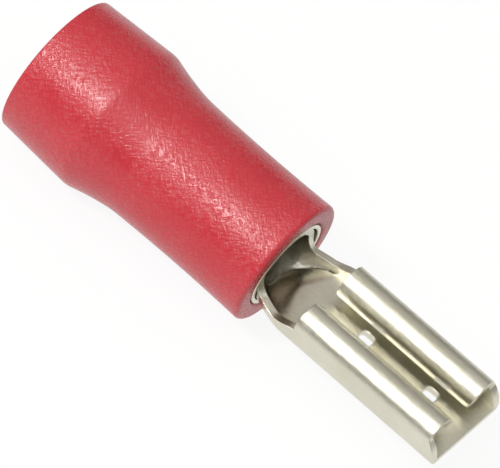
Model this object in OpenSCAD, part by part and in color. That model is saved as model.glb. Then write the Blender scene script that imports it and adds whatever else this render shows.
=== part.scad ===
// Female spade terminal for a 2.8 mm tab, with a funnel-entry insulating sleeve.
// Three pieces: one stamped and rolled sheet-metal terminal, a seamless support tube
// round its wire barrel, and a moulded insulating sleeve pushed over the tube.
// Millimetres. +X points to the mouth, +Z up, and the part lies on its sleeve at z = 0.

/* [Sheet metal] */
// Thickness of the strip that the terminal is stamped from
sheet_t = 0.3; // [0.25:0.01:0.34]
// Length from the sleeve's front face to the mouth
reach = 8.5; // [8.2:0.1:10]

/* [Receptacle] */
// Width over the side walls
rec_w = 3.74; // [3.5:0.02:4.2]
// Height from the floor's underside to the top of the rolled edges
rec_h = 1.53; // [1.5:0.01:1.8]
// Length of the side walls, from their rear edge to the mouth
rec_len = 6.62; // [6:0.02:6.9]
// Height of the floor's underside below the axis of the wire barrel
floor_drop = 0.83; // [0.7:0.01:1]
// Inner radius of the bends between floor and walls
bend_in_r = 0.02; // [0.01:0.01:0.15]
// Outer radius of the rolled edges
roll_r = 0.68; // [0.5:0.01:0.7]
// Angle that each edge is rolled through, from upright
roll_turn = 195; // [180:1:210]
// Setback of the rolled edges behind the mouth
roll_back = 0.48; // [0.3:0.01:0.8]
// Radius of the rolled edges' front corners
roll_front_r = 0.3; // [0.1:0.01:0.4]
// Radius of the rolled edges' rear corners
roll_rear_r = 0.12; // [0.05:0.01:0.3]
// Length of each window in the floor
window_len = 0.56; // [0.3:0.01:0.8]
// Width of each window in the floor
window_w = 1; // [0.4:0.02:1.2]
// Radius of the windows' corners
window_r = 0.12; // [0.05:0.01:0.14]
// Distance from the mouth to the first window's centre
window_front = 1.88; // [1.2:0.01:2.5]
// Distance between the two windows' centres
window_pitch = 2.96; // [2:0.01:3.4]

/* [Wire barrel] */
// Inner diameter of the wire barrel
barrel_d = 2.46; // [2:0.02:2.5]
// Length of the wire barrel
barrel_len = 5; // [4:0.1:6]
// Setback of the barrel's front edge behind the sleeve's front face
barrel_back = 0.1; // [0:0.01:0.5]
// Width of the butted seam along the top of the barrel
seam_w = 0.06; // [0.04:0.01:0.1]
// Depth of the bell mouth at the barrel's rear
barrel_bell = 0.12; // [0.05:0.01:0.2]

/* [Neck] */
// Angle of the barrel's circle that runs on into the neck, from its lowest line
neck_wrap = 104; // [90:1:115]
// Length over which the trough flattens into the receptacle's floor
neck_len = 1.65; // [1.2:0.05:1.7]
// Depth of the notch in each edge, below the line of the receptacle's wall
neck_notch = 0.3; // [0:0.01:0.4]
// Height of the neck's edges where they meet the rolled walls, above the floor's underside
neck_edge_h = 0.78; // [0.6:0.01:0.9]
// Radius of the notch's corner next to the barrel
notch_r = 0.4; // [0.3:0.01:0.8]

/* [Support tube] */
// Wall of the support tube
tube_t = 0.18; // [0.12:0.01:0.3]
// Length of the support tube
tube_len = 7.4; // [6:0.1:8]
// Radial gap between the wire barrel and the support tube
tube_gap = 0.05; // [0.02:0.01:0.1]
// Chamfer on the support tube's edges
tube_chamfer = 0.04; // [0.02:0.01:0.06]

/* [Insulating sleeve] */
// Length of the sleeve
sleeve_len = 10.85; // [10:0.05:12]
// Outer diameter at the front face
sleeve_d = 5.04; // [4.6:0.02:5.4]
// How much thinner the sleeve is at its waist
waist_dip = 0.1; // [0:0.01:0.2]
// Outer diameter of the shoulder, where the funnel is widest
shoulder_d = 5.84; // [5.5:0.02:6.4]
// Outer diameter of the rear rim
rim_d = 5.5; // [5.2:0.02:6]
// Distance from the rear rim to the shoulder
shoulder_at = 3.1; // [2:0.05:3.5]
// Length of the outside taper in front of the shoulder
taper_len = 2.05; // [1.5:0.05:2.5]
// Diameter of the wire entry in the rear
entry_d = 4.3; // [4:0.02:4.6]
// Depth of the wire entry before the funnel starts
entry_len = 2.4; // [1.5:0.05:2.6]
// Radial gap between the support tube and the sleeve
sleeve_gap = 0.02; // [0.01:0.01:0.05]
// Radius of the sleeve's outer edge at the front face
front_edge_r = 0.18; // [0.05:0.01:0.3]
// Radius of the sleeve's outer edge at the rear rim
rim_edge_r = 0.06; // [0.05:0.01:0.2]
// Chamfer on the bore's edge at the front face
bore_chamfer = 0.08; // [0.02:0.01:0.15]
// Chamfer on the entry's edge at the rear rim
entry_chamfer = 0.1; // [0.02:0.01:0.2]

/* [Hidden] */
$fn = 96;

// Metal tint of the tin plating and red of the sleeve
tin = [0.80, 0.80, 0.76];
red = [0.78, 0.20, 0.24];

// Places along X: the whole part is centred on the origin
face_x = (sleeve_len - reach) / 2;
rear_x = face_x - sleeve_len;
mouth_x = face_x + reach;
rec_x = mouth_x - rec_len;
barrel_front_x = face_x - barrel_back;
barrel_rear_x = barrel_front_x - barrel_len;
tube_rear_x = face_x - tube_len;

// Heights: the shoulder of the sleeve touches z = 0
axis_z = shoulder_d / 2;
floor_z = axis_z - floor_drop;

// Radii that follow from each other, from the inside out
barrel_r = barrel_d / 2 + sheet_t;
tube_in_r = barrel_r + tube_gap;
tube_out_r = tube_in_r + tube_t;
bore_r = tube_out_r + sleeve_gap;

// Outer radius of the bends between floor and walls
bend_r = bend_in_r + sheet_t;

// Rolled edge: centre of the roll, and the lowest point of its free edge
roll_y = rec_w / 2 - roll_r;
roll_z = rec_h - roll_r;
tip_z = roll_z + roll_r * sin(roll_turn);

// Front outline of the walls: an arc that leaves the floor upright at the mouth and has
// fallen back by roll_back half-way up the hollow of the roll
nose_z = roll_z + (roll_r - sheet_t) / 2;
nose_r = (nose_z * nose_z + roll_back * roll_back) / (2 * roll_back);

// How far a cutting shape runs past the faces it cuts
over = 1;

// The neck runs into the walls of the barrel and the receptacle by bite, and is pinched by
// skin on each side there, so that it lies inside them
bite = 0.1;
skin = 0.03;
pinch = 0.12;

function ease(u) = u * u * (3 - 2 * u);
function clamp01(u) = min(1, max(0, u));

// ---------------------------------------------------------------- neck, a computed loft

// Middle surface of the sheet. Across the part it is measured by the arc length s from
// the centre line, so that every station is the same flat blank, bent another way.
mid_barrel_r = barrel_r - sheet_t / 2;
mid_bend_r = bend_r - sheet_t / 2;
flat_half = rec_w / 2 - bend_r;
bend_arc = mid_bend_r * PI / 2;

// Point of the round barrel at arc length s
function on_barrel(s) =
    let (a = s / mid_barrel_r * 180 / PI)
    [mid_barrel_r * sin(a), -mid_barrel_r * cos(a)];

// Point of the flat floor, its bend or its wall at arc length s
function on_channel(s) =
    let (
        side = sign(s),
        d = abs(s),
        a = (d - flat_half) / mid_bend_r * 180 / PI,
        base = -floor_drop + sheet_t / 2
    )
    d < flat_half ? [s, base]
    : d < flat_half + bend_arc
        ? [side * (flat_half + mid_bend_r * sin(a)), base + mid_bend_r * (1 - cos(a))]
    : [side * (flat_half + mid_bend_r), base + mid_bend_r + d - flat_half - bend_arc];

// Share of the channel's form at distance x in front of the barrel, from 0 to 1
function flatness(x) = ease(pow(clamp01(x / neck_len), 0.7));

// Half the blank's width at distance x: it leaves the barrel with a rounded corner,
// narrows to the notch and widens again to the receptacle's wall
neck_span = rec_x - barrel_front_x;
barrel_half = mid_barrel_r * neck_wrap * PI / 180;
wall_half = flat_half + bend_arc + neck_edge_h - bend_r;
notch_half = wall_half - neck_notch;
function half_width(x) =
    let (
        u = clamp01(x / notch_r),
        v = clamp01((x - neck_span / 2) / (neck_span / 2))
    )
    notch_half + (barrel_half - notch_half) * (1 - sqrt(1 - (1 - u) * (1 - u)))
    + neck_notch * ease(v);

// Middle surface at distance x and arc length s
function neck_mid(x, s) =
    let (b = flatness(x))
    (1 - b) * on_barrel(s) + b * on_channel(s);

// Unit normal of the middle surface in its cross-section, pointing out of the trough
function neck_normal(x, s) =
    let (
        step = 0.002,
        d = neck_mid(x, s + step) - neck_mid(x, s - step)
    )
    [d[1], -d[0]] / norm(d);

// Arc lengths of one half's columns: even steps on the flat, the bend and the wall
flat_cols = 9;
bend_cols = 5;
wall_cols = 6;
function half_columns(x) =
    let (wall_start = flat_half + bend_arc)
    concat(
        [for (i = [1:flat_cols]) flat_half * i / flat_cols],
        [for (i = [1:bend_cols]) flat_half + bend_arc * i / bend_cols],
        [for (i = [1:wall_cols]) wall_start + (half_width(x) - wall_start) * i / wall_cols]
    );

// One closed ring of the loft: outside from edge to edge, then back along the inside
function neck_ring(x) =
    let (
        half = half_columns(x),
        last = len(half) - 1,
        row = concat([for (i = [last:-1:0]) -half[i]], [0], half),
        // The sheet thins at both ends of the neck
        near_end = clamp01(min(x, neck_span - x) / pinch),
        half_t = sheet_t / 2 - skin * (1 - near_end),
        outer = [for (s = row) neck_mid(x, s) + half_t * neck_normal(x, s)],
        inner = [for (s = row) neck_mid(x, s) - half_t * neck_normal(x, s)]
    )
    [for (p = concat(outer, [for (i = [len(row) - 1:-1:0]) inner[i]]))
        [barrel_front_x + x, p[0], axis_z + p[1]]];

neck_rows = 20;
module neck() {
    stations = concat(
        [-bite, 0],
        [for (i = [0:neck_rows]) pinch + (neck_span - 2 * pinch) * i / neck_rows],
        [neck_span, neck_span + bite]
    );
    rings = [for (x = stations) neck_ring(x)];
    last = len(rings) - 1;
    n = len(rings[0]);
    // Both end caps are cut into quads between the outside and the inside
    caps = [for (e = [0, last]) for (i = [0:n / 2 - 2])
        let (q = [e * n + i, e * n + i + 1, e * n + n - 2 - i, e * n + n - 1 - i])
        e == 0 ? q : [q[3], q[2], q[1], q[0]]];
    sides = [for (r = [0:last - 1]) for (i = [0:n - 1])
        let (j = (i + 1) % n)
        for (tri = [
            [r * n + i, (r + 1) * n + i, (r + 1) * n + j],
            [r * n + i, (r + 1) * n + j, r * n + j]
        ]) tri];
    polyhedron([for (ring = rings) for (p = ring) p], concat(caps, sides), convexity = 6);
}

// ---------------------------------------------------------------- terminal

// Turns a drawing in (y, z) into a solid that runs along X from x0 to x1
module along_x(x0, x1) {
    translate([x0, 0, 0]) rotate([90, 0, 90]) linear_extrude(x1 - x0) children();
}

// Turns a drawing in (x, z) into a solid that runs right across the part
module across(width) {
    translate([0, width / 2, 0]) rotate([90, 0, 0]) linear_extrude(width) children();
}

module bend_outline() {
    translate([flat_half, bend_r]) intersection() {
        difference() {
            circle(bend_r);
            if (bend_r > sheet_t) circle(bend_r - sheet_t);
        }
        translate([0, -bend_r]) square(bend_r);
    }
}

module roll_outline() {
    reach_r = 3 * roll_r;
    translate([roll_y, roll_z]) difference() {
        circle(roll_r);
        circle(roll_r - sheet_t);
        // The part of the circle that the edge is not rolled through
        polygon([
            [0, 0],
            [reach_r * cos(roll_turn), reach_r * sin(roll_turn)],
            [0, -reach_r],
            [reach_r, -reach_r],
            [reach_r, 0]
        ]);
    }
}

module channel_outline() {
    translate([-flat_half, 0]) square([2 * flat_half, sheet_t]);
    for (side = [0, 1]) mirror([side, 0]) {
        bend_outline();
        translate([rec_w / 2 - sheet_t, bend_r]) square([sheet_t, roll_z - bend_r]);
        roll_outline();
    }
}

// What is cut from the front, seen from the side: the rolls end square, and the walls run
// on in an arc to the mouth
module nose_cut() {
    difference() {
        translate([mouth_x - roll_back, 0]) square([roll_back + over, rec_h + over]);
        translate([mouth_x - nose_r, 0]) circle(nose_r);
    }
}

// What is cut from the free half of each roll, seen from the side: it ends square too, and
// both corners of its free edge are round
module free_edge_cut() {
    front = mouth_x - roll_back;
    top = roll_z + roll_r + over;
    translate([front, 0]) square([roll_back + over, top]);
    translate([front - roll_front_r, 0]) difference() {
        square([roll_front_r + over, tip_z + roll_front_r]);
        translate([0, tip_z + roll_front_r]) circle(roll_front_r);
    }
    translate([rec_x + roll_rear_r, 0]) difference() {
        translate([-roll_rear_r - over, 0])
            square([roll_rear_r + over, tip_z + roll_rear_r]);
        translate([0, tip_z + roll_rear_r]) circle(roll_rear_r);
    }
}

module window_outline() {
    x = window_len / 2 - window_r;
    y = window_w / 2 - window_r;
    square([window_len, 2 * y], center = true);
    square([2 * x, window_w], center = true);
    for (i = [-1, 1]) for (j = [-1, 1]) translate([i * x, j * y]) circle(window_r);
}

module receptacle() {
    slot_z = (sheet_t + tip_z) / 2;
    translate([0, 0, floor_z]) difference() {
        along_x(rec_x, mouth_x) channel_outline();
        across(rec_w + 2 * over) nose_cut();
        // The free edges are cut between the centres of the two rolls, above the tab's slot
        intersection() {
            across(2 * roll_y) free_edge_cut();
            translate([rec_x - over, -rec_w / 2, slot_z]) cube([rec_len + 2 * over, rec_w, rec_h]);
        }
        for (i = [0, 1]) translate([mouth_x - window_front - i * window_pitch, 0, -over])
            linear_extrude(sheet_t + 2 * over) window_outline();
    }
}

module barrel() {
    translate([barrel_rear_x, 0, axis_z]) rotate([0, 90, 0]) difference() {
        rotate_extrude() polygon([
            [barrel_d / 2 + barrel_bell, 0],
            [barrel_r, 0],
            [barrel_r, barrel_len],
            [barrel_d / 2, barrel_len],
            [barrel_d / 2, barrel_bell]
        ]);
        // The seam lies on top: rotate() above has turned -X of this frame to +Z
        translate([-barrel_r - over, -seam_w / 2, -over])
            cube([barrel_r + over, seam_w, barrel_len + 2 * over]);
    }
}

module terminal() {
    color(tin) union() {
        barrel();
        neck();
        receptacle();
    }
}

// ---------------------------------------------------------------- support tube

module support_tube() {
    c = tube_chamfer;
    color(tin) translate([tube_rear_x, 0, axis_z]) rotate([0, 90, 0])
        rotate_extrude() polygon([
            [tube_in_r + c, 0],
            [tube_out_r - c, 0],
            [tube_out_r, c],
            [tube_out_r, tube_len - c],
            [tube_out_r - c, tube_len],
            [tube_in_r + c, tube_len],
            [tube_in_r, tube_len - c],
            [tube_in_r, c]
        ]);
}

// ---------------------------------------------------------------- insulating sleeve

// Outer radius at distance x from the rear rim
function sleeve_r(x) =
    let (
        taper = clamp01((x - shoulder_at) / taper_len),
        start = shoulder_at + taper_len,
        w = 2 * (x - start) / (sleeve_len - start) - 1
    )
    x < shoulder_at ? rim_d / 2 + (shoulder_d - rim_d) / 2 * x / shoulder_at
    : x < start ? shoulder_d / 2 - (shoulder_d - sleeve_d) / 2 * (1 - pow(1 - taper, 1.5))
    : sleeve_d / 2 - waist_dip / 2 * (1 - w * w);

// Rounded outer edge: centre (r, x), radius and the start angle of a quarter turn
function edge_arc(r, x, edge_r, from) =
    [for (a = [from:15:from + 90]) [r + edge_r * cos(a), x + edge_r * sin(a)]];

module insulating_sleeve() {
    start = shoulder_at + taper_len;
    funnel_end = sleeve_len - tube_len;
    outside = concat(
        edge_arc(rim_d / 2 - rim_edge_r, rim_edge_r, rim_edge_r, -90),
        [for (i = [0:8]) let (x = shoulder_at + taper_len * i / 8) [sleeve_r(x), x]],
        [for (i = [1:7]) let (x = start + (sleeve_len - start) * i / 8) [sleeve_r(x), x]],
        edge_arc(sleeve_d / 2 - front_edge_r, sleeve_len - front_edge_r, front_edge_r, 0)
    );
    inside = [
        [bore_r + bore_chamfer, sleeve_len],
        [bore_r, sleeve_len - bore_chamfer],
        [bore_r, funnel_end],
        [entry_d / 2, entry_len],
        [entry_d / 2, entry_chamfer],
        [entry_d / 2 + entry_chamfer, 0]
    ];
    color(red) translate([rear_x, 0, axis_z]) rotate([0, 90, 0])
        rotate_extrude() polygon(concat(outside, inside));
}

terminal();
support_tube();
insulating_sleeve();
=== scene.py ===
# %% [markdown]
# # An insulated female spade terminal
#
# Three real pieces are packed in the frame: a stamped strip terminal, a thin support tube
# round its wire barrel, and a moulded sleeve. The frame is loaded first, because every
# place in this file is worked out from it.

# %% Load the frame
import math

import bpy
import numpy as np
from mathutils import Matrix, Vector


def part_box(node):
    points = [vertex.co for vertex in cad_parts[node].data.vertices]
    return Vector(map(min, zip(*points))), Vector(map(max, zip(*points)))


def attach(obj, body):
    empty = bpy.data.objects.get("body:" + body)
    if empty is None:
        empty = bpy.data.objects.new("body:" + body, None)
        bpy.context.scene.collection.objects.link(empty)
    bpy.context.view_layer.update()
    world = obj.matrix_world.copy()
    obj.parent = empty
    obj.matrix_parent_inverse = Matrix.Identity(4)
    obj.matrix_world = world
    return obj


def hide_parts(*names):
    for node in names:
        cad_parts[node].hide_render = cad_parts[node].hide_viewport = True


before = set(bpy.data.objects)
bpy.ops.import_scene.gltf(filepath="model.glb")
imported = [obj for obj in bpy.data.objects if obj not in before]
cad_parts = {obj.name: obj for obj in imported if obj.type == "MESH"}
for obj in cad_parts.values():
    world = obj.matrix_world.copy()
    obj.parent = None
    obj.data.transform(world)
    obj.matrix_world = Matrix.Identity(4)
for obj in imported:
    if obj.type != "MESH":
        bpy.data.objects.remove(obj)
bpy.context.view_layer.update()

MM = 0.001

# %% [markdown]
# ## Places from the frame
#
# The sleeve is a body of revolution, so its axis is the middle of its box. The terminal
# sticks out of the sleeve's front face.

# %% Places
sleeve_low, sleeve_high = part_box("insulating_sleeve")
metal_low, metal_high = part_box("terminal")
axis_z = (sleeve_low.z + sleeve_high.z) / 2
face_x = sleeve_high.x
rear_x = sleeve_low.x
mouth_x = metal_high.x
face_centre = Vector((face_x, 0, axis_z))
print("sleeve from", round(rear_x / MM, 3), "to", round(face_x / MM, 3), "mouth at", round(mouth_x / MM, 3))

# %% [markdown]
# ## Camera
#
# A long lens far away flattens a small part the way a catalogue picture does. The camera
# looks down steeply from the front, and is rolled so that the part lies across the picture.

# %% Camera
VIEW_AZIMUTH = 21.2
VIEW_ELEVATION = 51.8
VIEW_ROLL = 24.1
VIEW_DISTANCE = 256.2 * MM
VIEW_LENS = 538.5
AIM_FROM_FACE = Vector((-1.603, -0.244, 0.278)) * MM


def camera_matrix(aim, azimuth, elevation, roll, distance):
    """A camera at a distance from aim, looking at it, turned about its own line of sight."""
    a, e, r = (math.radians(v) for v in (azimuth, elevation, roll))
    back = Vector((math.sin(a) * math.cos(e), -math.cos(a) * math.cos(e), math.sin(e)))
    right = Vector((math.cos(a), math.sin(a), 0))
    up = back.cross(right)
    turned_right = math.cos(r) * right + math.sin(r) * up
    turned_up = back.cross(turned_right)
    turn = Matrix((turned_right, turned_up, back)).transposed()
    return Matrix.Translation(aim + distance * back) @ turn.to_4x4()


camera_data = bpy.data.cameras.new("camera")
camera_data.lens = VIEW_LENS
camera_data.sensor_width = 36
camera_data.clip_start = 0.01
camera_data.clip_end = 5
camera = bpy.data.objects.new("camera", camera_data)
bpy.context.scene.collection.objects.link(camera)
camera.matrix_world = camera_matrix(
    face_centre + AIM_FROM_FACE, VIEW_AZIMUTH, VIEW_ELEVATION, VIEW_ROLL, VIEW_DISTANCE
)
bpy.context.scene.camera = camera
print("camera at", [round(v, 4) for v in camera.matrix_world.translation])

# %% [markdown]
# ## Colours and a node helper
#
# Colours are written as sRGB hex, as a paint chart gives them, and turned linear once.
# One helper adds any shader node with its settings and its links.

# %% Helpers for materials
def linear(hex_colour):
    """sRGB hex to linear RGBA: the low end is divided, the rest follows a 2.4 power."""
    channels = [int(hex_colour[i:i + 2], 16) / 255 for i in (1, 3, 5)]
    return (*[c / 12.92 if c <= 0.04045 else ((c + 0.055) / 1.055) ** 2.4 for c in channels], 1)


def add_node(tree, kind, inputs=None, links=None, **settings):
    """Add a node, set its attributes and input values, and link other outputs into it."""
    node = tree.nodes.new(kind)
    for name, value in settings.items():
        setattr(node, name, value)
    for name, value in (inputs or {}).items():
        node.inputs[name].default_value = value
    for name, output in (links or {}).items():
        tree.links.new(output, node.inputs[name])
    return node


def new_material(name):
    """An empty node material, its tree and its output node."""
    material = bpy.data.materials.new(name)
    material.use_nodes = True
    tree = material.node_tree
    tree.nodes.clear()
    return material, tree, tree.nodes.new("ShaderNodeOutputMaterial")


# %% [markdown]
# ## Finish 1: bright tin plating
#
# The strip is brass, plated with tin before it is stamped. Tin is a warm, pale metal. The
# plating is bright, but the rolling and folding leave it faintly grained, so the edges of
# every reflection come out ragged and not razor sharp. Rolling draws the grain out along
# the strip. It is about 0.05 mm wide on the real one, and drawn 0.1 mm wide, or it would
# not show.

# %% Tin-plated brass
GRAIN = 0.1
GRAIN_DEPTH = 0.016
DRAWN_OUT = (0.3, 1, 1)
TARNISH = 1.6
HAZE_LOW, HAZE_HIGH = 0.16, 0.32


def per_mm(size):
    """Scale of a noise pattern, on coordinates in metres, whose features are size mm wide."""
    return 1 / (size * MM)


metal, tree, output = new_material("tin_plated_brass")
place = add_node(tree, "ShaderNodeTexCoord")
drawn = add_node(tree, "ShaderNodeMapping", {"Scale": DRAWN_OUT}, {"Vector": place.outputs["Object"]})
grain = add_node(tree, "ShaderNodeTexNoise", {"Scale": per_mm(GRAIN), "Detail": 5, "Roughness": 0.75},
                 {"Vector": drawn.outputs[0]})
cloud = add_node(tree, "ShaderNodeTexNoise", {"Scale": per_mm(TARNISH), "Detail": 4, "Roughness": 0.55},
                 {"Vector": place.outputs["Object"]})
tint = add_node(tree, "ShaderNodeMix", data_type="RGBA", links={"Factor": cloud.outputs["Fac"]})
tint.inputs["A"].default_value = linear("#e6e3d6")
tint.inputs["B"].default_value = linear("#c9c5b0")
haze = add_node(tree, "ShaderNodeMapRange", {"To Min": HAZE_LOW, "To Max": HAZE_HIGH},
                {"Value": grain.outputs["Fac"]})
bump = add_node(tree, "ShaderNodeBump", {"Strength": 1.0, "Distance": GRAIN_DEPTH * MM},
                {"Height": grain.outputs["Fac"]})
surface = add_node(tree, "ShaderNodeBsdfPrincipled", {"Metallic": 1.0}, {
    "Base Color": tint.outputs["Result"], "Roughness": haze.outputs[0], "Normal": bump.outputs[0],
})
tree.links.new(surface.outputs[0], output.inputs["Surface"])
print("made", metal.name)

# %% [markdown]
# ## Finish 2: moulded PVC, rubbed in bulk
#
# The sleeve is moulded, soft and satin. Thousands lie in one bag and rub, which leaves
# short crossing strokes all over. They scatter the lamp into a broken patch of sparkle and
# show paler than the red under them. A stroke is some 0.02 mm wide on the real sleeve, and
# drawn about 0.09 mm wide, or it would not show. The two directions are multiplied, so a
# mark stays only where strokes cross, and slow patches of wear make it fainter or stronger.

# %% Moulded PVC
STROKE_WIDE = 0.085
STROKE_LONG = 0.3
STROKE_ANGLES = (42, -38)
STROKE_FROM, STROKE_TO = 0.36, 0.78
STROKE_DEPTH = 0.05
STROKE_PALENESS = 0.42
WEAR_PER_MM = 0.45
LEAST_WORN = 0.45
SATIN_LOW, SATIN_HIGH = 0.27, 0.34
PVC_IOR = 1.54

pvc, tree, output = new_material("moulded_pvc")
place = add_node(tree, "ShaderNodeUVMap", uv_map="unrolled")
strokes = None
for angle in STROKE_ANGLES:
    turned = add_node(tree, "ShaderNodeMapping", {
        "Rotation": (0, 0, math.radians(angle)), "Scale": (STROKE_LONG, STROKE_WIDE, 1),
    }, {"Vector": place.outputs[0]}, vector_type="TEXTURE")
    noise = add_node(tree, "ShaderNodeTexNoise", {"Scale": 0.9, "Detail": 2, "Roughness": 0.65},
                     {"Vector": turned.outputs[0]})
    picked = add_node(tree, "ShaderNodeMapRange", {"From Min": STROKE_FROM, "From Max": STROKE_TO},
                      {"Value": noise.outputs["Fac"]})
    if strokes is None:
        strokes = picked.outputs[0]
    else:
        both = add_node(tree, "ShaderNodeMath", {}, {0: strokes, 1: picked.outputs[0]},
                        operation="MULTIPLY")
        strokes = both.outputs[0]
wear = add_node(tree, "ShaderNodeTexNoise", {"Scale": WEAR_PER_MM, "Detail": 3},
                {"Vector": place.outputs[0]})
worn = add_node(tree, "ShaderNodeMapRange", {"From Min": 0.38, "From Max": 0.62, "To Min": LEAST_WORN},
                {"Value": wear.outputs["Fac"]})
marks = add_node(tree, "ShaderNodeMath", operation="MULTIPLY", links={0: strokes, 1: worn.outputs[0]})
pale = add_node(tree, "ShaderNodeMath", {1: STROKE_PALENESS}, {0: marks.outputs[0]},
                operation="MULTIPLY")
ground = add_node(tree, "ShaderNodeMix", data_type="RGBA", links={"Factor": wear.outputs["Fac"]})
ground.inputs["A"].default_value = linear("#b01f2b")
ground.inputs["B"].default_value = linear("#bf2c38")
colour = add_node(tree, "ShaderNodeMix", data_type="RGBA",
                  links={"Factor": pale.outputs[0], "A": ground.outputs["Result"]})
colour.inputs["B"].default_value = linear("#dd8084")
satin = add_node(tree, "ShaderNodeMapRange", {"To Min": SATIN_LOW, "To Max": SATIN_HIGH},
                 {"Value": marks.outputs[0]})
bump = add_node(tree, "ShaderNodeBump", {"Strength": 1.0, "Distance": STROKE_DEPTH * MM},
                {"Height": marks.outputs[0]})
surface = add_node(tree, "ShaderNodeBsdfPrincipled", {"IOR": PVC_IOR}, {
    "Base Color": colour.outputs["Result"], "Roughness": satin.outputs[0], "Normal": bump.outputs[0],
})
tree.links.new(surface.outputs[0], output.inputs["Surface"])
print("made", pvc.name, "with", len(STROKE_ANGLES), "directions of strokes")

# %% [markdown]
# ## Meshes from arrays
#
# Every new piece is a grid of points worked out with numpy. One helper turns the points
# and the faces into an object at the origin, and leaves out points that no face uses.

# %% A piece from arrays
def make_piece(name, points, faces, material, uv=None):
    """points (n, 3) in mm and faces (lists of point numbers) become a smooth-shaded object."""
    used = np.unique(np.concatenate([np.ravel(f) for f in faces]))
    number = np.zeros(len(points), int)
    number[used] = np.arange(len(used))
    rows = [row for group in faces for row in number[group].tolist()]
    mesh = bpy.data.meshes.new(name)
    mesh.from_pydata((points[used] * MM).tolist(), [], rows)
    mesh.polygons.foreach_set("use_smooth", np.ones(len(rows), bool))
    if uv is not None:
        layer = mesh.uv_layers.new(name="unrolled")
        layer.data.foreach_set("uv", uv.astype(np.float32).ravel())
    mesh.materials.append(material)
    piece = bpy.data.objects.new(name, mesh)
    bpy.context.scene.collection.objects.link(piece)
    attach(piece, "root")
    print(name, len(used), "points,", len(rows), "faces")
    return piece


# %% [markdown]
# ## The sleeve
#
# The real sleeve is moulded on a core: a straight bore grips the support tube, and a funnel
# at the rear leads the wire in. It is a closed outline turned once round the axis. The CAD
# outline is kept, with its shoulder and its edges softened as a moulding's are.

# %% The sleeve's outline
TURNS = 256
OUTLINE_STEPS = 150
REAR, FACE, AXIS = rear_x / MM, face_x / MM, axis_z / MM
SHOULDER_R = (sleeve_high.z - sleeve_low.z) / 2 / MM
FACE_R, RIM_R, BORE_R, ENTRY_R = 2.52, 2.75, 1.78, 2.15
SHOULDER_AT, TAPER_LEN, WAIST_DIP = 3.1, 2.05, 0.1
TUBE_LEN, ENTRY_LEN = 7.4, 2.4
FACE_EDGE, RIM_EDGE, BORE_EDGE, ENTRY_EDGE = 0.18, 0.06, 0.08, 0.1
SOFT_SHOULDER = 0.16


def outer_radius(x):
    """Radius at x mm from the rim: a cone to the shoulder, a fading taper, a shallow waist."""
    length = FACE - REAR
    start = SHOULDER_AT + TAPER_LEN
    cone = RIM_R + (SHOULDER_R - RIM_R) * x / SHOULDER_AT
    fade = np.clip((x - SHOULDER_AT) / TAPER_LEN, 0, 1)
    taper = SHOULDER_R - (SHOULDER_R - FACE_R) * (1 - (1 - fade) ** 1.5)
    across = 2 * (x - start) / (length - start) - 1
    waist = FACE_R - WAIST_DIP / 2 * (1 - across ** 2)
    return np.where(x < SHOULDER_AT, cone, np.where(x < start, taper, waist))


def softened(x, radius):
    """A moving average, which rounds corners inwards and never adds material to a ridge."""
    shifts = np.linspace(-1, 1, 9) * SOFT_SHOULDER
    mean = np.mean([outer_radius(x + shift) for shift in shifts], axis=0)
    return np.minimum(mean, radius)


def quarter(x, r, size, start, steps=7):
    """A quarter circle of points round (x, r), from an angle in degrees."""
    a = np.radians(np.linspace(start, start + 90, steps))
    return np.stack([x - size * np.cos(a), r + size * np.sin(a)], axis=1)


def filled(points, spacing):
    """Points added along each straight stretch, so that no two are further apart than spacing."""
    parts = []
    for p, q in zip(points[:-1], points[1:]):
        steps = max(int(np.ceil(np.hypot(*(q - p)) / spacing)), 1)
        parts.append(p + (q - p) * np.linspace(0, 1, steps, endpoint=False)[:, None])
    return np.concatenate(parts + [points[-1:]])


# %% Turn the sleeve
def turned_piece(name, outline, material):
    """A closed outline of (x, r) carried once round X: y = r sin a, z = axis + r cos a."""
    a = np.linspace(0, 2 * np.pi, TURNS, endpoint=False)
    x, r = outline[:, :1] + 0 * a, outline[:, 1:] + 0 * a
    points = np.stack([x, r * np.sin(a), AXIS + r * np.cos(a)], axis=-1).reshape(-1, 3)
    i, j = np.meshgrid(np.arange(len(outline)), np.arange(TURNS), indexing="ij")
    down, over = (i + 1) % len(outline), (j + 1) % TURNS
    quads = np.stack([i * TURNS + j, down * TURNS + j, down * TURNS + over, i * TURNS + over], axis=-1)
    # Unrolled in mm: once round is measured on one radius, so that the strokes keep their size
    round_mm = 2 * np.pi * FACE_R / TURNS
    run = np.concatenate([[0], np.cumsum(np.hypot(*np.diff(outline, axis=0, append=outline[:1]).T))])
    corner_u = np.stack([run[i], run[i + 1], run[i + 1], run[i]], axis=-1)
    corner_v = np.stack([j, j, j + 1, j + 1], axis=-1) * round_mm
    uv = np.stack([corner_u, corner_v], axis=-1)
    return make_piece(name, points, [quads.reshape(-1, 4)], material, uv)


along = np.linspace(RIM_EDGE, FACE - REAR - FACE_EDGE, OUTLINE_STEPS)
outside = np.stack([REAR + along, softened(along, outer_radius(along))], axis=1)
front = np.array([
    [FACE, FACE_R - FACE_EDGE], [FACE, BORE_R + BORE_EDGE], [FACE - BORE_EDGE, BORE_R],
    [FACE - TUBE_LEN, BORE_R], [REAR + ENTRY_LEN, ENTRY_R], [REAR + ENTRY_EDGE, ENTRY_R],
    [REAR, ENTRY_R + ENTRY_EDGE], [REAR, RIM_R - RIM_EDGE],
])
front_round = quarter(FACE - FACE_EDGE, outside[-1, 1] - FACE_EDGE, FACE_EDGE, 90)[1:-1]
rim_round = quarter(REAR + RIM_EDGE, outside[0, 1] - RIM_EDGE, RIM_EDGE, 0)[1:-1]
outline = np.concatenate([outside, front_round, filled(front, spacing=0.2), rim_round])
sleeve = turned_piece("sleeve", outline[::-1], pvc)
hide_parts("insulating_sleeve")

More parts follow.
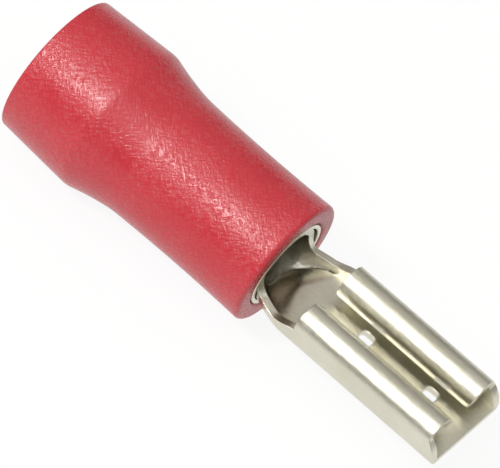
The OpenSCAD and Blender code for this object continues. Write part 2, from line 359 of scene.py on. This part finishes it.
# %% [markdown]
# ## The support tube
#
# A drawn tube with no seam. It shows as a thin bright ring in the mouth of the sleeve, so
# its edge is rounded as a deburred one is.

# %% Turn the support tube
TUBE_IN, TUBE_OUT, TUBE_EDGE = 1.58, 1.76, 0.05
rear, front = FACE - TUBE_LEN + TUBE_EDGE, FACE - TUBE_EDGE
outer, inner = TUBE_OUT - TUBE_EDGE, TUBE_IN + TUBE_EDGE
round_centres = ((rear, outer), (front, outer), (front, inner), (rear, inner))
tube_outline = np.concatenate([
    quarter(*centre, TUBE_EDGE, 90 * k, steps=5) for k, centre in enumerate(round_centres)
])
tube = turned_piece("wire_support_tube", tube_outline[::-1], metal)
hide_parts("support_tube")

# %% [markdown]
# ## The terminal
#
# The real terminal is one flat blank that a press folds. So it is made here as one: each
# point of the blank has a place x along the strip and a distance s from its centre line,
# and one function says where the press puts it. The thickness comes last, from Solidify,
# and Bevel breaks the sheared edges, which is what makes them catch the light.

# %% Sizes of the strip
SHEET = 0.3
WIDTH = (metal_high.y - metal_low.y) / MM
BARREL_R = (metal_high.z - metal_low.z) / 2 / MM - SHEET / 2
MOUTH = mouth_x / MM
REC_LEN, REC_H, FLOOR_DROP, BEND_IN = 6.62, 1.53, 0.83, 0.02
ROLL_R, ROLL_TURN, ROLL_BACK, ROLL_FRONT_R, ROLL_REAR_R = 0.68, 195, 0.48, 0.3, 0.12
BARREL_LEN, BARREL_BACK, SEAM = 5.0, 0.1, 0.06
NECK_WRAP, NECK_LEN, NOTCH, NECK_EDGE_H, NOTCH_R = 104, 1.65, 0.3, 0.78, 0.4
FOLD_MEETS, NECK_RISE = 42.6, 0.95
WINDOW_W, WINDOW_LEN, WINDOW_R, WINDOW_FRONT, WINDOW_PITCH = 1.0, 0.56, 0.12, 1.88, 2.96

REC_X = MOUTH - REC_LEN
NECK_X = FACE - BARREL_BACK
NECK_SPAN = REC_X - NECK_X
bend_mid = BEND_IN + SHEET / 2
flat_half = WIDTH / 2 - BEND_IN - SHEET
bend_arc = bend_mid * math.pi / 2
fold_line = flat_half + bend_arc / 2
roll_mid = ROLL_R - SHEET / 2
roll_y, roll_z = WIDTH / 2 - ROLL_R, REC_H - ROLL_R
wall_top = flat_half + bend_arc + roll_z - BEND_IN - SHEET
blank_half = wall_top + roll_mid * math.radians(ROLL_TURN)
free_half_from = wall_top + roll_mid * math.pi / 2
wrap_half = BARREL_R * math.radians(NECK_WRAP)
neck_wall_half = flat_half + bend_arc + NECK_EDGE_H - BEND_IN - SHEET
print("the receptacle's blank is", round(2 * blank_half, 2), "mm wide, folded to", round(WIDTH, 2))


# %% Where the press puts a point
def in_barrel(s):
    """The barrel's circle: s is wrapped round it from the lowest line."""
    a = s / BARREL_R
    return BARREL_R * np.sin(a), -BARREL_R * np.cos(a)


def in_channel(s):
    """Floor, tight bend, upright wall and roll, one after the other along s."""
    d = np.abs(s)
    bend = (d - flat_half) / bend_mid
    roll = (d - wall_top) / roll_mid
    z0 = SHEET / 2
    zones = [d < flat_half, d < flat_half + bend_arc, d < wall_top]
    y = np.select(zones, [d, flat_half + bend_mid * np.sin(bend), flat_half + bend_mid + 0 * d],
                  roll_y + roll_mid * np.cos(roll))
    z = np.select(zones, [z0 + 0 * d, z0 + bend_mid * (1 - np.cos(bend)),
                          z0 + bend_mid + d - flat_half - bend_arc],
                  roll_z + roll_mid * np.sin(roll))
    return np.sign(s) * y, z - FLOOR_DROP


def ease(t):
    """Slow at both ends: t squared times (3 - 2 t)."""
    return t * t * (3 - 2 * t)


def barrel_place(s, half):
    """Where a point of a row joins the barrel: its fold line at FOLD_MEETS, its edge at its own s."""
    d = np.abs(s)
    meets = BARREL_R * math.radians(FOLD_MEETS)
    on_wall = meets + (half - meets) * (d - fold_line) / (half - fold_line)
    placed = np.where(d < fold_line, d * meets / fold_line, on_wall)
    return np.sign(s) * np.where(d > half, d, placed)


def pressed(x, s):
    """A point of the blank in mm: (1 - share) of its place in the barrel + share of the channel's."""
    # The middle of the floor climbs sooner than the two fold lines and the walls
    near_fold = ease(np.clip(np.abs(s) / fold_line, 0, 1))
    reach = NECK_RISE + (NECK_LEN - NECK_RISE) * near_fold
    share = ease(np.clip((x - NECK_X) / reach, 0, 1) ** 0.7)
    half = strip_half(np.clip(x, NECK_X, REC_X))
    (y0, z0), (y1, z1) = in_barrel(barrel_place(s, half)), in_channel(s)
    return np.stack([x, (1 - share) * y0 + share * y1, AXIS + (1 - share) * z0 + share * z1], axis=-1)


# %% How the blank is cut
nose_z = roll_z + (ROLL_R - SHEET) / 2
nose_r = (nose_z ** 2 + ROLL_BACK ** 2) / (2 * ROLL_BACK)
tip_z = roll_z + roll_mid * math.sin(math.radians(ROLL_TURN))


def corner(height, radius):
    """How far a rounded corner cuts back at a height above the free edge."""
    h = np.clip(height / radius, 0, 1)
    return radius * (1 - np.sqrt(np.clip(1 - (1 - h) ** 2, 0, 1)))


def front_back(s):
    """How far the front edge lies behind the mouth: an arc up the wall, then square."""
    _, z = in_channel(s)
    z = z + FLOOR_DROP
    arc = nose_r - np.sqrt(np.clip(nose_r ** 2 - np.minimum(z, nose_z) ** 2, 0, None))
    return np.where(np.abs(s) > free_half_from, ROLL_BACK + corner(z - tip_z, ROLL_FRONT_R), arc)


def rear_ahead(s):
    """How far the rolls' rear edge lies ahead: only the corner of the free edge is rounded."""
    _, z = in_channel(s)
    return np.where(np.abs(s) > free_half_from, corner(z + FLOOR_DROP - tip_z, ROLL_REAR_R), 0)


def strip_half(x):
    """Half the strip's width through the neck: a rounded corner, the notch, and the wall."""
    notch_half = neck_wall_half - NOTCH
    u = np.clip((x - NECK_X) / NOTCH_R, 0, 1)
    v = np.clip((x - NECK_X - NECK_SPAN / 2) / (NECK_SPAN / 2), 0, 1)
    fall = 1 - np.sqrt(np.clip(1 - (1 - u) ** 2, 0, 1))
    return notch_half + (wrap_half - notch_half) * fall + NOTCH * ease(v)


# %% [markdown]
# The grid has a row or a column exactly where the blank has an edge: at the barrel's end, at
# the receptacle's rear and round the two windows. A window's rounded corner is cut in two
# straight lines, which meet in the middle of its arc.

# %% Rows and columns of the blank
BARREL_ROWS, NECK_ROWS, REC_ROWS = 29, 47, 80
FLAT_COLUMNS, BEND_COLUMNS, WALL_COLUMNS, FLAP_COLUMNS = 14, 8, 6, 40
CLEAR = 0.03
TINY = 1e-6


def with_lines(values, lines, clear):
    """Even values, with exact lines added and any value closer than clear to one left out."""
    keep = [v for v in values if min(abs(v - line) for line in lines) > clear]
    return np.array(sorted([*keep, *lines]))


round_in = (0, WINDOW_R * (1 - math.sqrt(0.5)), WINDOW_R)
window_ends = [MOUTH - WINDOW_FRONT - k * WINDOW_PITCH + side * WINDOW_LEN / 2
               for k in (0, 1) for side in (-1, 1)]
window_rows = [MOUTH - WINDOW_FRONT - k * WINDOW_PITCH + side * (WINDOW_LEN / 2 - step)
               for k in (0, 1) for side in (-1, 1) for step in round_in]
window_columns = [WINDOW_W / 2 - step for step in round_in]
barrel_rows = np.linspace(NECK_X - BARREL_LEN, NECK_X, BARREL_ROWS + 1)[:-1]
neck_rows = np.linspace(NECK_X, REC_X, NECK_ROWS + 1)[:-1]
rec_rows = with_lines(np.linspace(REC_X, MOUTH, REC_ROWS), window_rows, CLEAR)
rows = np.concatenate([barrel_rows, neck_rows, rec_rows])
in_neck = (rows > NECK_X - TINY) & (rows < REC_X - TINY)

flat_columns = with_lines(np.linspace(0, flat_half, FLAT_COLUMNS + 1)[1:], window_columns, CLEAR)
bend_columns = flat_half + bend_arc * np.arange(1, BEND_COLUMNS + 1) / BEND_COLUMNS
floor_columns = np.concatenate([[0], flat_columns, bend_columns])
print("rows", len(rows), "columns", len(floor_columns) + WALL_COLUMNS + FLAP_COLUMNS, "a side")

# %% Fold the blank
x = rows[:, None]
half = strip_half(np.clip(x, NECK_X, REC_X))
fixed = np.broadcast_to(floor_columns, (len(rows), len(floor_columns)))
wall_start = flat_half + bend_arc
wall = wall_start + (half - wall_start) * np.arange(1, WALL_COLUMNS + 1) / WALL_COLUMNS
full = np.where(x < NECK_X + TINY, BARREL_R * math.pi - SEAM / 2, blank_half)
flap = half + (full - half) * np.arange(1, FLAP_COLUMNS + 1) / FLAP_COLUMNS
right_half = np.concatenate([fixed, wall, flap], axis=1)
s = np.concatenate([-right_half[:, :0:-1], right_half], axis=1)
centre = right_half.shape[1] - 1

# Between its two cut edges a column is squeezed evenly
to_mouth = (x - REC_X) / REC_LEN
squeezed = x + (1 - to_mouth) * rear_ahead(s) - to_mouth * front_back(s)
folded_x = np.where(x >= REC_X - TINY, squeezed, x)
blank = pressed(folded_x, s)
print("blank", blank.shape[:2], "points")

# %% Faces of the blank
# Which corner of a cell points into the window, by whether the cell is in the low half in x and in s
INTO_WINDOW = {(True, True): 2, (True, False): 1, (False, True): 3, (False, False): 0}

row_count, column_count = s.shape
i, j = np.meshgrid(np.arange(row_count - 1), np.arange(column_count - 1), indexing="ij")
quads = np.stack([i * column_count + j, (i + 1) * column_count + j,
                  (i + 1) * column_count + j + 1, i * column_count + j + 1], axis=-1)
from_centre = np.abs(j + 0.5 - centre)
flap_quad = from_centre > centre - FLAP_COLUMNS
there = ~(flap_quad & in_neck[i])
middle_x, middle_s = (rows[i] + rows[i + 1]) / 2, (s[i, j] + s[i, j + 1]) / 2

corners = []
for end_low, end_high in (window_ends[0:2], window_ends[2:4]):
    inside = (middle_x > end_low) & (middle_x < end_high) & (np.abs(middle_s) < WINDOW_W / 2)
    deep_x = np.minimum(middle_x - end_low, end_high - middle_x)
    deep_s = WINDOW_W / 2 - np.abs(middle_s)
    # The small square in each corner stays, and its two neighbours keep a triangle
    small = inside & (deep_x < round_in[1]) & (deep_s < round_in[1])
    by_end = inside & (deep_x < round_in[1]) & (deep_s > round_in[1]) & (deep_s < WINDOW_R)
    by_side = inside & (deep_s < round_in[1]) & (deep_x > round_in[1]) & (deep_x < WINDOW_R)
    there &= ~inside | small
    low_x, low_s = middle_x < (end_low + end_high) / 2, middle_s < 0
    for (is_low_x, is_low_s), gone in INTO_WINDOW.items():
        cut = (by_end | by_side) & (low_x == is_low_x) & (low_s == is_low_s)
        corners.append(np.delete(quads[cut], gone, axis=1))
terminal = make_piece("stamped_terminal", blank.reshape(-1, 3), [quads[there], *corners], metal)

# %% Give the strip its thickness
BROKEN_EDGE = 0.03
SHARP_FROM = 50

thickness = terminal.modifiers.new("thickness", "SOLIDIFY")
thickness.thickness = SHEET * MM
thickness.offset = 0
thickness.use_even_offset = True
edges = terminal.modifiers.new("broken_edges", "BEVEL")
edges.width = BROKEN_EDGE * MM
edges.segments = 2
edges.limit_method = "ANGLE"
edges.angle_limit = math.radians(SHARP_FROM)
edges.use_clamp_overlap = False
edges.harden_normals = True
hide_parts("terminal")
print("terminal", SHEET, "mm thick")

# %% [markdown]
# ## Floor and light
#
# A plain pale floor and two soft lamps. To the camera, and in reflections, most of the floor's
# white is its own, and the rest is matt paper, which keeps the part's shadow faintly. To every
# other ray it is matt paper alone, so it throws no more light on the part than paper does.

# %% Floor
FLOOR_HALF = 0.6
SHINE_SHARE = 0.9
floor_mesh = bpy.data.meshes.new("floor")
floor_mesh.from_pydata(
    [(-FLOOR_HALF, -FLOOR_HALF, 0), (FLOOR_HALF, -FLOOR_HALF, 0),
     (FLOOR_HALF, FLOOR_HALF, 0), (-FLOOR_HALF, FLOOR_HALF, 0)], [], [(0, 1, 2, 3)]
)
floor = bpy.data.objects.new("floor", floor_mesh)
bpy.context.scene.collection.objects.link(floor)
paper, tree, output = new_material("white_paper")
matt = add_node(tree, "ShaderNodeBsdfDiffuse", {"Color": linear("#f4f4f2")})
shine = add_node(tree, "ShaderNodeEmission", {"Color": (1, 1, 1, 1), "Strength": 1.0})
path = add_node(tree, "ShaderNodeLightPath")
seen = add_node(tree, "ShaderNodeMath", operation="MAXIMUM", links={
    0: path.outputs["Is Camera Ray"], 1: path.outputs["Is Glossy Ray"],
})
seen_all = add_node(tree, "ShaderNodeMath", operation="MAXIMUM", links={
    0: seen.outputs[0], 1: path.outputs["Is Transmission Ray"],
})
white = add_node(tree, "ShaderNodeMath", {1: SHINE_SHARE}, {0: seen_all.outputs[0]}, operation="MULTIPLY")
both = add_node(tree, "ShaderNodeMixShader", links={
    0: white.outputs[0], 1: matt.outputs[0], 2: shine.outputs[0],
})
tree.links.new(both.outputs[0], output.inputs["Surface"])
floor_mesh.materials.append(paper)
print("floor", 2 * FLOOR_HALF, "m across")


# %% [markdown]
# The large soft box lights the part from the left and above. The small lamp, closer, makes the
# highlight on the sleeve.

# %% Lamps
def soft_lamp(name, azimuth, elevation, distance, size, power):
    """A square area lamp on a sphere round the part, aimed at its middle."""
    a, e = math.radians(azimuth), math.radians(elevation)
    back = Vector((math.sin(a) * math.cos(e), -math.cos(a) * math.cos(e), math.sin(e)))
    data = bpy.data.lights.new(name, "AREA")
    data.size = size
    data.energy = power
    lamp = bpy.data.objects.new(name, data)
    bpy.context.scene.collection.objects.link(lamp)
    lamp.location = Vector((0, 0, axis_z)) + distance * back
    lamp.rotation_euler = back.to_track_quat("Z", "Y").to_euler()


soft_lamp("soft_box", azimuth=345, elevation=60, distance=0.30, size=0.32, power=0.40)
soft_lamp("key_lamp", azimuth=330, elevation=52, distance=0.16, size=0.022, power=0.115)

# %% [markdown]
# The room is dimmer than the soft box, and dimmest towards the horizon. The metal needs
# that fall, since it shows nothing but its surroundings.

# %% Room
ZENITH, HORIZON = 0.66, 0.22
DARK_BELOW, BRIGHT_ABOVE = 0.1, 0.95

world = bpy.data.worlds.new("room")
world.use_nodes = True
room = world.node_tree
direction = add_node(room, "ShaderNodeTexCoord")
parts = add_node(room, "ShaderNodeSeparateXYZ", links={0: direction.outputs["Generated"]})
height = add_node(room, "ShaderNodeMapRange", {
    "From Min": DARK_BELOW, "From Max": BRIGHT_ABOVE, "To Min": HORIZON, "To Max": ZENITH,
}, {"Value": parts.outputs["Z"]}, interpolation_type="SMOOTHSTEP")
background = room.nodes["Background"]
background.inputs["Color"].default_value = linear("#fffdf8")
room.links.new(height.outputs[0], background.inputs["Strength"])
bpy.context.scene.world = world
bpy.context.scene.view_settings.view_transform = "Standard"
